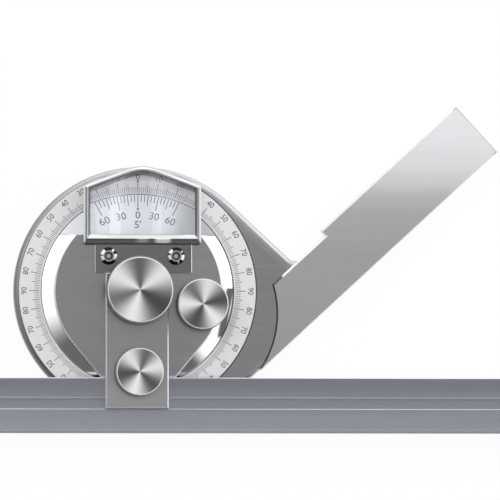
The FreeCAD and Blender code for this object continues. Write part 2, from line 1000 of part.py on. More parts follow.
def make_blade():
    left = -blade_left
    right = blade_length - blade_left
    top = plate_top
    low = blade_bottom
    chamfer = blade_edge_break
    section = [
        (blade_lower + chamfer, low),
        (blade_upper - chamfer, low),
        (blade_upper, low + chamfer),
        (blade_upper, top - chamfer),
        (blade_upper - chamfer, top),
        (groove_upper + groove_lip, top),
        (groove_upper, top - groove_lip),
        (groove_upper, top - groove_depth),
        (groove_lower, top - groove_depth),
        (groove_lower, top - groove_lip),
        (groove_lower - groove_lip, top),
        (blade_lower + blade_front_bevel, top),
        (blade_lower, top - blade_front_bevel_depth),
        (blade_lower, low + chamfer),
    ]
    points = [Vector(left, y, z) for y, z in section]
    face = Part.Face(Part.makePolygon(points + [points[0]]))
    bar = face.extrude(Vector(blade_length, 0, 0))
    left_run = blade_width / math.tan(math.radians(blade_end_angle_left))
    right_run = blade_width / math.tan(math.radians(blade_end_angle_right))
    ends = [
        Vector(left, blade_lower, 0),
        Vector(right, blade_lower, 0),
        Vector(right - right_run, blade_upper, 0),
        Vector(left + left_run, blade_upper, 0),
    ]
    return bar.common(prism(polygon(ends), low, top))


# Blade clamp


def clamp_stud_blank(fit):
    bottom = plate_top - clamp_stud_bite
    top = bar_front + blade_knob_hub_height + clamp_stud_in_knob
    radius = clamp_stud_radius + fit
    return disc(radius, bottom - fit, top, 0, clamp_stud_y)


def make_clamp_bar():
    body = box(bar_left, bar_right, bar_lower, bar_top, bar_bottom, bar_front)
    body = body.makeChamfer(bar_chamfer, edges_at(body, bar_front))
    lip_upper = groove_upper - lip_side_gap
    lip_bottom = plate_top - groove_depth + lip_end_gap
    lip = box(bar_left, bar_right, bar_lower, lip_upper, lip_bottom, bar_bottom)
    body = body.fuse(lip).removeSplitter()
    hub_hole = disc(centre_knob_hub + hub_clearance, bar_bottom, bar_front)
    radius = clamp_stud_radius + lip_side_gap
    stud_hole = disc(radius, bar_bottom, bar_front, 0, clamp_stud_y)
    return body.cut([hub_hole, stud_hole])


def make_spring(x):
    """A bowed leaf: its ends stand in the slot and its crown lifts the bar."""
    near = spring_y - spring_length / 2
    far = spring_y + spring_length / 2
    left = x - spring_width / 2
    low = spring_bottom
    high = spring_bottom + spring_thickness
    under = Vector(left, spring_y, plate_top - spring_thickness)
    over = Vector(left, spring_y, plate_top)
    near_low, near_high = Vector(left, near, low), Vector(left, near, high)
    far_low, far_high = Vector(left, far, low), Vector(left, far, high)
    edges = [
        arc(near_low, under, far_low),
        line(far_low, far_high),
        arc(far_high, over, near_high),
        line(near_high, near_low),
    ]
    return Part.Face(Part.Wire(edges)).extrude(Vector(spring_width, 0, 0))


# Knobs

centre_hub_bottom = plate_top + knob_washer_thickness
centre_knob_bottom = bar_front + bar_lift + centre_knob_lift_gap
centre_knob_top = centre_knob_bottom + centre_knob_height
fine_hub_bottom = plate_top + face_gap
fine_knob_bottom = fine_hub_bottom + fine_knob_hub_height
blade_hub_bottom = bar_front
blade_knob_bottom = blade_hub_bottom + blade_knob_hub_height


def knurl_band(radius, knurl, bottom, top):
    count = int(2 * math.pi * radius / knurl_pitch)
    points = []
    for index in range(count):
        points.append(polar(radius, 360 / count * index))
        points.append(polar(radius - knurl, 360 / count * (index + 0.5)))
    return prism(polygon(points), bottom, top)


def make_knob(radius, knurl, bottom, height, hub_radius, hub_bottom):
    """A knurled knob with a dished, spun face and a hub below it."""
    top = bottom + height
    core = radius - knurl - knurl_root
    profile = [
        (0, hub_bottom),
        (hub_radius, hub_bottom),
        (hub_radius, bottom),
        (core - knob_chamfer, bottom),
        (core, bottom + knob_chamfer),
        (core, top - knob_chamfer),
        (core - knob_chamfer, top),
        (0, top - knob_dish),
    ]
    band = knurl_band(radius, knurl, bottom + knob_land, top - knob_land)
    return revolved(profile).fuse(band)


def make_centre_knob():
    knob = make_knob(
        centre_knob_radius,
        centre_knob_knurl,
        centre_knob_bottom,
        centre_knob_height,
        centre_knob_hub,
        centre_hub_bottom,
    )
    bore_top = centre_knob_top - knob_dish - knob_bore_end_gap
    return knob.cut(disc(stud_thread_radius, centre_hub_bottom, bore_top))


def make_knob_washer():
    inner = stud_thread_radius + face_gap
    return ring(knob_washer_radius, inner, plate_top, centre_hub_bottom)


def make_fine_knob():
    knob = make_knob(
        fine_knob_radius,
        fine_knob_knurl,
        fine_knob_bottom,
        fine_knob_height,
        fine_knob_hub,
        fine_hub_bottom,
    )
    bore_top = fine_knob_bottom + fine_knob_shaft_in + seat_fit
    bore = disc(pinion_shaft_radius + seat_fit, fine_hub_bottom, bore_top)
    knob = knob.cut([bore, grub_blank(seat_fit, fine_knob_radius)])
    knob.translate(Vector(pinion_x, pinion_y, 0))
    return knob


def grub_blank(fit, outer):
    start = pinion_shaft_radius + seat_fit
    height = fine_knob_bottom + grub_height
    axis = polar(1, pinion_direction)
    base = axis * start + Vector(0, 0, height)
    return Part.makeCylinder(grub_radius + fit, outer - start, base, axis)


def make_grub_screw():
    grub = grub_blank(0, pinion_shaft_radius + seat_fit + grub_length)
    grub.translate(Vector(pinion_x, pinion_y, 0))
    return grub


def make_blade_knob():
    knob = make_knob(
        blade_knob_radius,
        blade_knob_knurl,
        blade_knob_bottom,
        blade_knob_height,
        blade_knob_hub,
        blade_hub_bottom,
    )
    bore_top = blade_knob_bottom + clamp_stud_in_knob + blade_knob_bore_gap
    bore = disc(clamp_stud_radius + seat_fit, blade_hub_bottom, bore_top)
    knob = knob.cut(bore)
    knob.translate(Vector(0, clamp_stud_y, 0))
    return knob


save("frame", make_frame())
save("stock", make_stock())
save("stock_screws", compound([screw(stock_screw_sizes(p)) for p in stock_screw_places]))
save("stock_dowels", compound([stock_dowel(p, 0) for p in stock_dowel_places]))
save("dial_ring", make_dial_ring())
save("dial_screws", compound([screw(dial_screw_sizes(p)) for p in dial_screw_points]))
save("ring_gear", make_ring_gear())
save("gear_screws", compound([screw(gear_screw_sizes(p)) for p in gear_screw_points]))
save("pivot_bush", make_pivot_bush())
save("thrust_washer", make_thrust_washer())
save("back_cap", make_back_cap())
save("centre_stud", make_centre_stud())
save("turret_disc", make_turret_disc())
save("turret_plate", make_turret_plate())
turret_screws = [screw(turret_screw_sizes(angle)) for angle in turret_screw_angles]
save("turret_screws", compound(turret_screws))
save("turret_dowels", compound([turret_dowel(a, 0) for a in turret_dowel_angles]))
save("vernier_plate", make_vernier_plate())
save("window_bracket", make_bracket())
save("bracket_screws", compound([make_bracket_screw(x) for x in bracket_screw_xs]))
save("window_bezel", make_bezel())
save("bezel_screws", compound([screw(bezel_screw_sizes(x)) for x in bezel_screw_xs]))
save("magnifier_lens", make_lens())
save("pinion_bush", make_pinion_bush())
save("pinion_shaft", make_pinion_shaft())
save("fine_knob", make_fine_knob())
save("knob_grub_screw", make_grub_screw())
save("clamp_stud", clamp_stud_blank(0))
save("lift_springs", compound([make_spring(side * spring_x) for side in (-1, 1)]))
save("clamp_bar", make_clamp_bar())
save("blade_knob", make_blade_knob())
save("knob_washer", make_knob_washer())
save("centre_knob", make_centre_knob())
save("blade", make_blade())
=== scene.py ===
import math

import bmesh
import bpy
from mathutils import Matrix, Vector


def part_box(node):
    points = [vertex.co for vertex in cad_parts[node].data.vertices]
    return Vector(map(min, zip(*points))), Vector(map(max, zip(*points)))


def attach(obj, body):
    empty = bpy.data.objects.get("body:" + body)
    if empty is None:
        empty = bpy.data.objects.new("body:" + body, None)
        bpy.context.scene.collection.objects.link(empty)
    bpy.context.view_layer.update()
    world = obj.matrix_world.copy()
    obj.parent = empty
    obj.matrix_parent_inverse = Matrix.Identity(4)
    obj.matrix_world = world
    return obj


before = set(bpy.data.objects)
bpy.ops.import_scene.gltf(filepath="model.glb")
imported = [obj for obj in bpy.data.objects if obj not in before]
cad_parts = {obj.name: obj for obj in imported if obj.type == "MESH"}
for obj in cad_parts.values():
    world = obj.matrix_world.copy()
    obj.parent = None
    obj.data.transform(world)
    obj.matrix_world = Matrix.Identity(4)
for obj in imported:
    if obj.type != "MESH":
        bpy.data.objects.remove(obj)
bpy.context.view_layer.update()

# The scene is in metres; sizes below are in millimetres unless they say otherwise
MM = 0.001

# The picture: where the dial's centre is, and how many millimetres a pixel covers
PICTURE = 500
DIAL_CENTRE_PIXEL = (137.3, 291.3)
MM_PER_PIXEL = 0.3239
CAMERA_DISTANCE = 2.4
CAMERA_TILT = (5.0, 2.2)
SENSOR = 36.0

# The graduations, measured from the swivel axis; the two faces are in metres
DIAL_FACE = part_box("dial_ring")[1].z
VERNIER_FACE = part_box("vernier_plate")[1].z
INK_HEIGHT = 0.012
ZERO_DIRECTION = 90
DOT_RADIUS = 0.32
DIAL_TICK_START = 31.8
DIAL_TICK_ENDS = {10: 35.1, 5: 34.2, 1: 33.5}
DIAL_TICK_WIDTHS = {10: 0.2, 5: 0.17, 1: 0.13}
DIAL_ZERO_END = 35.4
DIAL_NUMBER_RADIUS = 36.8
DIAL_NUMBER_HEIGHT = 1.8
VERNIER_TICK_START = 30.95
VERNIER_TICK_ENDS = {30: 26.4, 15: 27.6, 5: 28.7}
VERNIER_TICK_WIDTH = 0.22
VERNIER_SPAN = 23.0
VERNIER_PARTS = 12
MINUTES_A_PART = 5
VERNIER_NUMBER_RADIUS = 24.5
VERNIER_NUMBER_HEIGHT = 2.3
UNIT_RADIUS = 21.4

# How tall a figure of size 1 is, and how much narrower the engraved ones are
FIGURE_TALL = 0.69
FIGURE_NARROW = 0.94

# Directions on the instrument
ARM_TURN = math.radians(42.7)
NECK_TURN = math.radians(50)
FRAME_GRIND = math.radians(20)
UP = math.radians(90)
DOWN = math.radians(-90)

# Colours of the metals and of the ink
STEEL = (0.318, 0.318, 0.333)
STOCK_STEEL = (0.833, 0.837, 0.864)
BRACKET_STEEL = (0.192, 0.192, 0.204)
BLADE_STEEL = (0.256, 0.265, 0.296)
SPUN_STEEL = (0.9, 0.9, 0.91)
INNER_STEEL = (0.5, 0.5, 0.51)
BRONZE = (0.62, 0.42, 0.2)
POLISH = (0.9, 0.9, 0.9)
DIAL_CHROME = (0.73, 0.73, 0.74)
VERNIER_CHROME = (0.83, 0.84, 0.865)
INK = (0.045, 0.045, 0.05)

# The grinding lines: how the pattern is squeezed along and across them, and their depth
FINE_LINES = (90, 5200, 90)
BROAD_LINES = (14, 420, 14)
GRIND_DEPTH = 0.005
GRIND_ROUGHNESS = 0.23
# Painted highlight: the tone of chamfers and rounded edges
CHAMFER_HIGHLIGHT = 0.95
SATIN_DEPTH = 0.006

# The knobs' spun faces: radius of the face and directions of its painted highlight fans in
# degrees
KNOB_FACES = {
    "centre_knob": (10.57, (37, 148, 252)),
    "fine_knob": (8.12, (76, 178, 310)),
    "blade_knob": (7.62, (18, 125, 252)),
}
# Tones of the painted highlight fans, the painted shade between them, the painted highlight
# rim and the knob's side
FAN_SHARPNESS = 12.0
FAN_HIGHLIGHT = 0.81
BETWEEN_FANS = 0.035
KNOB_RIM_HIGHLIGHT = 0.85
KNOB_SIDE_TONE = 0.3

# The rounded end of the stock over the frame, along which a shadow line is painted
LAP_CENTRE = (12.49, -7.17)
LAP_RADIUS = 33.2

# Where a reflection of the fine knob is painted on the polished ring
PAINTED_REFLECTION_ENDS = ((30.2, 0.9), (27.1, -15.0))

# The window frame, in metres, and its painted reflection bands: share of the way in, and tone
BEZEL_WALL = 1.9 * MM
BEZEL_BAR = 3.0 * MM
BEZEL_EAVES = 34.0 * MM
APEX_ROUND = 1.14 * MM
LEFT_BANDS = [(0.0, 0.95), (0.2, 0.9), (0.32, 0.3), (0.5, 0.2), (0.58, 0.35),
              (0.66, 0.8), (0.72, 0.75), (0.8, 0.2), (1.0, 0.12)]
RIGHT_BANDS = [(0.0, 0.8), (0.15, 0.8), (0.3, 0.7), (0.4, 0.3), (0.48, 0.3),
               (0.56, 0.5), (0.66, 0.5), (0.76, 0.15), (1.0, 0.15)]
ROOF_BANDS = [(0.0, 0.6), (0.06, 0.5), (0.13, 0.5), (0.21, 0.98), (0.44, 1.0),
              (0.56, 0.9), (0.66, 0.45), (0.8, 0.22), (1.0, 0.2)]
BAR_BANDS = [(0.0, 0.05), (0.1, 0.06), (0.16, 0.2), (0.45, 0.18), (0.52, 0.09),
             (0.6, 0.12), (0.68, 0.95), (1.0, 1.0)]

# The studio, in metres and watts: what each lamp gives is its place, size and power
FLOOR_SIZE = 3.0
FLOOR_DROP = 0.00005
FLOOR_TONE = 0.95
FLOOR_GLOW = 0.95
STUDIO_LEVEL = 1.2
SOUTH_CARD_AIM = math.radians(268.5)
SOUTH_CARD_DEPTH = 0.88
WEST_CARD_DEPTH = 0.7
CEILING_DEPTH = 0.55
LAMPS = {
    "key_softbox": ((-0.35, 0.55, 1.15), 1.1, 3.4),
    "side_softbox": ((0.9, 0.35, 0.7), 0.9, 2.0),
}

# Sockets of the node that mixes two colours
MIX_FACTOR, MIX_FIRST, MIX_SECOND, MIX_RESULT = 0, 6, 7, 2


class Wire:
    """One socket of a material's nodes, so that shader sums read as sums."""

    def __init__(self, board, socket):
        self.board = board
        self.socket = socket

    def __add__(self, other):
        return self.board.maths("ADD", self, other)

    def __sub__(self, other):
        return self.board.maths("SUBTRACT", self, other)

    def __rsub__(self, other):
        return self.board.maths("SUBTRACT", other, self)

    def __mul__(self, other):
        return self.board.maths("MULTIPLY", self, other)

    def __truediv__(self, other):
        return self.board.maths("DIVIDE", self, other)


class Board:
    """A node tree, with one way to add any node."""

    def __init__(self, tree):
        self.tree = tree
        tree.nodes.clear()

    def node(self, kind, settings=None, inputs=None, output=0):
        made = self.tree.nodes.new(kind)
        for name, value in (settings or {}).items():
            if name == "stops":
                self.set_stops(made.color_ramp, value)
            else:
                setattr(made, name, value)
        for name, value in (inputs or {}).items():
            if isinstance(value, Wire):
                self.tree.links.new(value.socket, made.inputs[name])
            else:
                made.inputs[name].default_value = value
        return Wire(self, made.outputs[output]) if made.outputs else None

    def set_stops(self, ramp, stops):
        while len(ramp.elements) < len(stops):
            ramp.elements.new(1.0)
        for element, (place, level) in zip(ramp.elements, stops):
            element.position = place
            element.color = grey(level)

    def split(self, vector):
        """The three parts of a vector."""
        parts = self.node("ShaderNodeSeparateXYZ", None, {"Vector": vector})
        outputs = parts.socket.node.outputs
        return [Wire(self, outputs[axis]) for axis in range(3)]

    def rays(self, *kinds):
        """1 where a ray is of one of the kinds."""
        path = self.node("ShaderNodeLightPath")
        outputs = path.socket.node.outputs
        total = Wire(self, outputs[kinds[0]])
        for kind in kinds[1:]:
            total = total + Wire(self, outputs[kind])
        return self.maths("MINIMUM", total, 1.0)

    def maths(self, operation, *values):
        inputs = dict(enumerate(values))
        return self.node("ShaderNodeMath", {"operation": operation}, inputs)

    def ramp(self, value, stops, ease="EASE"):
        made = self.node("ShaderNodeValToRGB", {"stops": stops}, {"Fac": value})
        made.socket.node.color_ramp.interpolation = ease
        return made

    def step(self, value, low, high):
        """0 below low, 1 above high, smooth between them."""
        settings = {"interpolation_type": "SMOOTHSTEP"}
        inputs = {"Value": value, "From Min": low, "From Max": high}
        return self.node("ShaderNodeMapRange", settings, inputs)

    def rise_from(self, value, low, high):
        """0 below low, 1 above high, both in millimetres."""
        return self.step(value, low * MM, high * MM)

    def fall_from(self, value, low, high):
        """1 below low, 0 above high, both in millimetres."""
        return 1.0 - self.step(value, low * MM, high * MM)

    def tint(self, colour, level):
        """A colour made lighter or darker by a level round 1."""
        settings = {"data_type": "RGBA", "blend_type": "MULTIPLY"}
        levels = self.node("ShaderNodeCombineXYZ", None, {"X": level, "Y": level, "Z": level})
        inputs = {MIX_FACTOR: 1.0, MIX_FIRST: (*colour, 1.0), MIX_SECOND: levels}
        return self.node("ShaderNodeMix", settings, inputs, MIX_RESULT)

    def coordinates(self):
        """Object coordinates in metres, as one vector."""
        return self.node("ShaderNodeTexCoord", output="Object")

    def place(self):
        """Object coordinates in metres, as three numbers."""
        return self.split(self.coordinates())

    def polar(self, centre=(0.0, 0.0)):
        """Angle and radius about an upright axis, its centre in millimetres."""
        x, y = self.place()[:2]
        across = x - centre[0] * MM
        up = y - centre[1] * MM
        radius = self.maths("SQRT", across * across + up * up)
        return self.maths("ARCTAN2", up, across), radius

    def rise(self):
        """How far a face looks up: 1 for level, 0 for upright."""
        return self.split(self.node("ShaderNodeTexCoord", output="Normal"))[2]

    def slope(self):
        """1 on chamfers and rounded edges, 0 on level and upright faces."""
        rise = self.rise()
        return self.step(rise, 0.25, 0.5) * (1.0 - self.step(rise, 0.86, 0.95))

    def noise(self, vector, scale, detail=2.0):
        inputs = {"Vector": vector, "Scale": scale, "Detail": detail}
        return self.node("ShaderNodeTexNoise", None, inputs)

    def lines(self, turn, stretch, detail):
        """Noise drawn out into straight lines at a turn about Z."""
        inputs = {"Vector": self.coordinates(), "Rotation": (0, 0, -turn), "Scale": stretch}
        return self.noise(self.node("ShaderNodeMapping", None, inputs), 1.0, detail)

    def bump(self, height, depth):
        """Relief of a height between 0 and 1, its depth in millimetres."""
        inputs = {"Strength": 1.0, "Distance": depth * MM, "Height": height}
        return self.node("ShaderNodeBump", None, inputs)

    def surface(self, inputs):
        self.output(self.node("ShaderNodeBsdfPrincipled", None, inputs))

    def output(self, shader):
        self.node("ShaderNodeOutputMaterial", None, {"Surface": shader})


def grey(level):
    return (level, level, level, 1.0)


def material(name):
    made = bpy.data.materials.new(name)
    made.use_nodes = True
    return made, Board(made.node_tree)


# Finishes


def ground_metal(
    name, colour, turn=0.0, grain=0.05, shade=None, painted_edge_light=None, metallic=1.0
):
    """Fine straight grinding lines, with painted shade on the faces and painted highlights on
    chamfers and rounded edges.
    """
    made, board = material(name)
    fine = board.lines(turn, FINE_LINES, 3.0)
    broad = board.lines(turn, BROAD_LINES, 2.0)
    grain_and_painted_shade = (fine - 0.5) * (2 * grain) + (broad - 0.5) * grain + 1.0
    # Painted shade over the faces, where a shade is given
    if shade is not None:
        grain_and_painted_shade = grain_and_painted_shade * shade(board)
    # Chamfers and rounded edges take a painted highlight
    edge = board.slope()
    painted_highlight = CHAMFER_HIGHLIGHT / max(colour)
    if painted_edge_light is not None:
        painted_highlight = painted_edge_light(board) * painted_highlight
    grain_and_painted_shade = grain_and_painted_shade * (1.0 - edge) + edge * painted_highlight
    grind = (broad - 0.5) * 0.06 + (fine - 0.5) * 0.08 + GRIND_ROUGHNESS
    board.surface({
        "Base Color": board.tint(colour, grain_and_painted_shade),
        "Metallic": metallic,
        "Roughness": grind + edge * 0.3,
        "Normal": board.bump(fine, GRIND_DEPTH),
    })
    return made


def turned_metal(
    name, colour, roughness, groove, depth, centre=(0.0, 0.0), shade=None, metallic=1.0
):
    """Fine rings from the lathe about an upright axis, a groove apart."""
    made, board = material(name)
    angle, radius = board.polar(centre)
    rings = board.node("ShaderNodeTexNoise", {"noise_dimensions": "1D"},
                       {"W": radius * (1.0 / (groove * MM)), "Scale": 1.0, "Detail": 3.0})
    level = (rings - 0.5) * 0.16 + 1.0
    # Painted light and shade, where a shade is given
    if shade is not None:
        level = level * shade(board, angle, radius)
    board.surface({
        "Base Color": board.tint(colour, level),
        "Metallic": metallic,
        "Roughness": (rings - 0.5) * 0.16 + roughness,
        "Normal": board.bump(rings, depth),
    })
    return made


def lobes(board, angle, directions):
    """Painted highlight fans of a spun face towards each direction, in degrees."""
    total = None
    for direction in directions:
        swing = board.maths("COSINE", angle - math.radians(direction))
        fan = board.maths("POWER", swing * 0.5 + 0.5, FAN_SHARPNESS)
        total = fan if total is None else total + fan
    return total


def spun_face(name, centre, directions, edge, top):
    """A lathe-spun face: painted highlight fans, painted shade between them, and a painted
    highlight on its thin rim.
    """
    def shade(board, angle, radius):
        painted_fans = lobes(board, angle, directions)
        painted_rim = board.rise_from(radius, edge - 0.42, edge - 0.26)
        face = (painted_fans * FAN_HIGHLIGHT + BETWEEN_FANS) * (1.0 - painted_rim) + painted_rim * KNOB_RIM_HIGHLIGHT
        upper = board.rise_from(board.place()[2], top - 0.5, top - 0.4)
        return face * upper + (1.0 - upper) * KNOB_SIDE_TONE

    return turned_metal(
        name, SPUN_STEEL, roughness=0.4, groove=0.16, depth=0.006,
        centre=centre, shade=shade, metallic=0.3,
    )


def satin_chrome(name, colour, shade):
    """The dial's dull white chrome: a fine even grain, hardly a mirror, with light and shade
    painted in by the given shade.
    """
    made, board = material(name)
    grain = board.noise(board.coordinates(), 5200.0)
    cloud = board.noise(board.coordinates(), 60.0)
    level = (grain - 0.5) * 0.08 + (cloud - 0.5) * 0.05 + 1.0
    board.surface({
        "Base Color": board.tint(colour, level * shade(board)),
        "Metallic": 0.35,
        "Roughness": (grain - 0.5) * 0.1 + 0.5,
        "Normal": board.bump(grain, SATIN_DEPTH),
    })
    return made


def polished_metal(name, colour, roughness, shade):
    """A mirror with a little haze in it, and a painted reflection from the given shade."""
    made, board = material(name)
    haze = board.noise(board.coordinates(), 300.0, 3.0)
    level = (haze - 0.5) * 0.04 + 1.0
    board.surface({
        "Base Color": board.tint(colour, level * shade(board)),
        "Metallic": 1.0,
        "Roughness": (haze - 0.5) * 0.04 + roughness,
    })
    return made


def window_place(board, low, high):
    """How far a point is from the window's middle, its nearer side and its roof.

    low and high are the corners of the window frame's box.
    """
    x, y = board.place()[:2]
    run = (high.x - low.x) / 2
    across = x - (low.x + high.x) / 2
    inside = run - board.maths("ABSOLUTE", across)
    tip = high.y + APEX_ROUND
    pitch = math.atan2(tip - BEZEL_EAVES, run)
    soft = APEX_ROUND / math.tan(pitch)
    ridge = board.maths("SQRT", across * across + soft * soft)
    under = (tip - y - ridge * math.tan(pitch)) * math.cos(pitch)
    return across, inside, under


def bar_tone(board, across, above):
    """Painted reflection bands of the window's lower bar, with a bright and a soft painted
    glint.
    """
    painted_highlight = board.fall_from(board.maths("ABSOLUTE", across - 6.6 * MM), 0.6, 3.4)
    soft = board.fall_from(board.maths("ABSOLUTE", across), 0.5, 3.0)
    painted_glints = (painted_highlight * 1.3 + soft * 0.3) * board.rise_from(above, 0.35, 0.9)
    bands = board.ramp(above * (1.0 / BEZEL_BAR), BAR_BANDS, "LINEAR")
    return board.maths("MINIMUM", bands + painted_glints, 1.0)


def banded_chrome(name, low, high):
    """The window frame's polish, with painted reflections: bright and dark bands that follow
    its outline.
    """
    made, board = material(name)
    across, inside, under = window_place(board, low, high)
    above = board.place()[1] - low.y
    nearest = board.maths("MINIMUM", under, inside)
    share = nearest * (1.0 / BEZEL_WALL)
    left_tone, right_tone, roof_tone = [
        board.ramp(share, bands, "LINEAR") for bands in (LEFT_BANDS, RIGHT_BANDS, ROOF_BANDS)
    ]
    right = board.maths("GREATER_THAN", across, 0.0)
    roof = board.maths("LESS_THAN", under, inside)
    bar = board.maths("LESS_THAN", above * (BEZEL_WALL / BEZEL_BAR), nearest)
    painted_band_tone = left_tone * (1.0 - right) + right_tone * right
    painted_band_tone = painted_band_tone * (1.0 - roof) + roof_tone * roof
    painted_band_tone = painted_band_tone * (1.0 - bar) + bar_tone(board, across, above) * bar
    painted = board.step(board.rise(), 0.2, 0.4)
    painted_band_tone = painted_band_tone * painted + (1.0 - painted) * 0.84
    haze = board.noise(board.coordinates(), 300.0, 3.0)
    board.surface({
        "Base Color": board.tint((1.0, 1.0, 1.0), painted_band_tone * ((haze - 0.5) * 0.04 + 1.0)),
        "Metallic": 1.0 - painted * 0.65,
        "Roughness": (haze - 0.5) * 0.04 + 0.07 + painted * 0.25,
    })
    return made


def black_oxide(name, low, high):
    """Glossy black screw heads with painted reflections: bright and dark patches round the
    socket, and a lighter hub and ring in it.

    low and high are the corners of the box round the left and the right screw.
    """
    made, board = material(name)
    head = (high.y - low.y) / 2
    x, y = board.place()[:2]
    side = board.maths("GREATER_THAN", x, (low.x + high.x) / 2)
    across = x - (side * (high.x - low.x - 2 * head) + (low.x + head))
    up = y - (low.y + high.y) / 2
    radius = board.maths("SQRT", across * across + up * up)
    angle = board.maths("ARCTAN2", up, across)
    wave = board.maths("COSINE", angle * 2.0 + 0.3)
    wave = wave + board.maths("COSINE", angle * 5.0 + 1.0) * 0.7
    wave = wave + board.maths("COSINE", angle * 7.0 + side * 2.0) * 0.5
    painted_glint = board.step(wave, -0.1, 0.35)
    outer = board.rise_from(radius, 1.7, 1.85)
    ring = board.rise_from(radius, 1.25, 1.4)
    hub = board.fall_from(radius, 0.65, 0.85)
    level = outer * (painted_glint * 0.85 + 0.02) + (1.0 - outer) * (hub * 0.42 + ring * 0.4 + 0.05)
    speck = board.noise(board.coordinates(), 2500.0, 3.0)
    board.surface({
        "Base Color": board.tint((1.0, 1.0, 1.0), level * ((speck - 0.5) * 0.2 + 1.0)),
        "Metallic": 1.0,
        "Roughness": (speck - 0.5) * 0.1 + 0.2 + outer * 0.25,
    })
    return made


def ink(name):
    """The black of ticks and figures, slightly worn."""
    made, board = material(name)
    fade = board.noise(board.coordinates(), 900.0)
    board.surface({
        "Base Color": board.tint(INK, (fade - 0.5) * 0.5 + 1.0),
        "Roughness": (fade - 0.5) * 0.1 + 0.55,
    })
    return made


def lens_glass(name, low, high):
    """Clear glass with a painted dark band of shade along the roof and the left side of the
    window.

    It lets the lamps through to the scale behind it. low and high are the corners of
    the window frame's box.
    """
    made, board = material(name)
    across, inside, under = window_place(board, low, high)
    roof = 1.0 - board.step(under, BEZEL_WALL + 0.7 * MM, BEZEL_WALL + 1.1 * MM)
    left = 1.0 - board.step(inside, BEZEL_WALL + 0.25 * MM, BEZEL_WALL + 0.45 * MM)
    left = left * board.maths("LESS_THAN", across, 0.0)
    painted_dark_band = board.maths("MAXIMUM", roof * 0.55, left * 0.75)
    glass = board.node("ShaderNodeBsdfPrincipled", None, {
        "Base Color": board.tint((0.985, 0.992, 1.0), 1.0 - painted_dark_band),
        "Roughness": 0.0,
        "IOR": 1.95,
        "Specular Tint": (0.6, 0.6, 0.65, 1.0),
        "Transmission Weight": 1.0,
    })
    clear = board.node("ShaderNodeBsdfTransparent", None, {"Color": (0.97, 0.98, 1.0, 1.0)})
    share = board.rays("Is Shadow Ray", "Is Diffuse Ray")
    board.output(board.node("ShaderNodeMixShader", None, {0: share, 1: glass, 2: clear}))
    return made


# Painted shades: how the light falls off over each piece, painted into its colour


def along(board, turn, start, end, stops):
    """A ramp along one direction in the plane of the instrument, in millimetres."""
    x, y = board.place()[:2]
    run = x * math.cos(turn) + y * math.sin(turn)
    share = (run - start * MM) / ((end - start) * MM)
    peak = max(level for place, level in stops)
    return board.ramp(share, [(place, level / peak) for place, level in stops]) * peak


def stock_shade(board):
    """Painted light: lighter at the far end; the tones run level across the picture."""
    stops = [(0.0, 0.4), (0.4, 0.435), (0.575, 0.49), (0.65, 0.58), (0.725, 0.78),
             (0.8, 0.93), (0.925, 1.02), (1.0, 1.04)]
    return along(board, UP, -22.0, 58.0, stops)


def stock_edges(board):
    """Painted highlights on the long edges, painted shade on the far end, and a painted
    shadow where it ends over the frame.
    """
    radius = board.polar()[1]
    near = board.fall_from(radius, 47.0, 47.6)
    stops = [(0.0, 1.0), (0.4, 1.0), (0.6, 0.45), (1.0, 0.45)]
    return along(board, ARM_TURN, 114.5, 116.5, stops) * (1.0 - near * 0.88)


def turret_shade(board):
    """Painted light: a little lighter towards the east."""
    stops = [(0.0, 1.0), (0.5, 0.96), (0.75, 0.98), (0.9, 1.06)]
    return along(board, 0.0, -27.0, 27.0, stops)


def clamp_shade(board):
    """Painted light: lighter towards its lower end."""
    return along(board, DOWN, -6.0, 38.0, [(0.0, 0.94), (0.5, 1.06), (1.0, 1.35)])


def blade_shade(board):
    """Painted light: lighter towards its lower edge, with a painted highlight line along the
    groove.
    """
    stops = [(0.0, 0.99), (0.14, 1.0), (0.46, 1.24), (0.73, 1.42), (0.88, 1.5), (1.0, 2.0)]
    slow = along(board, DOWN, 27.0, 46.5, stops)
    stops = [(0.0, 1.0), (0.2, 1.0), (0.3, 1.4), (0.7, 1.4), (0.8, 1.0), (1.0, 1.0)]
    return slow * along(board, DOWN, 34.0, 35.3, stops)


def dial_shade(board):
    """Painted light: a little lighter under the window's roof, against the roof's shadow."""
    return board.rise_from(board.place()[1], 33.0, 35.5) * 0.25 + 1.0


def vernier_shade(board):
    """Painted shade: darker towards the east."""
    stops = [(0.0, 1.06), (0.45, 0.98), (0.7, 0.7), (1.0, 0.62)]
    return along(board, math.radians(-20), -17.0, 17.0, stops)


def knob_mirrored(board):
    """A painted reflection: the fine knob's side as a dark stripe on the polished ring."""
    x, y = board.place()[:2]
    start, end = PAINTED_REFLECTION_ENDS
    run = Vector(end) - Vector(start)
    across = (x - start[0] * MM) * (run.y / run.length)
    across = across - (y - start[1] * MM) * (run.x / run.length)
    painted_reflection = board.fall_from(board.maths("ABSOLUTE", across), 0.7, 1.7)
    painted_reflection = painted_reflection * board.rise_from(y, end[1] - 0.8, end[1] + 0.8)
    painted_reflection = painted_reflection * board.fall_from(y, start[1] - 0.2, start[1] + 0.2)
    return 1.0 - painted_reflection * 0.88


def west_side(board, angle):
    """1 on the rim's west, 0 on its east."""
    return board.step(board.maths("COSINE", angle - math.radians(190)), -0.1, 0.85)


def lap_line(board):
    """Painted shadow: 1 along the stock's rounded end, where it lies over the frame."""
    x, y = board.place()[:2]
    reach = board.polar(LAP_CENTRE)[1]
    painted_shadow_line = board.rise_from(reach, LAP_RADIUS - 0.7, LAP_RADIUS - 0.35)
    painted_shadow_line = painted_shadow_line * board.fall_from(reach, LAP_RADIUS, LAP_RADIUS + 0.1)
    return painted_shadow_line * board.fall_from(y, 2.3, 2.8) * board.rise_from(x, 38.0, 38.5)


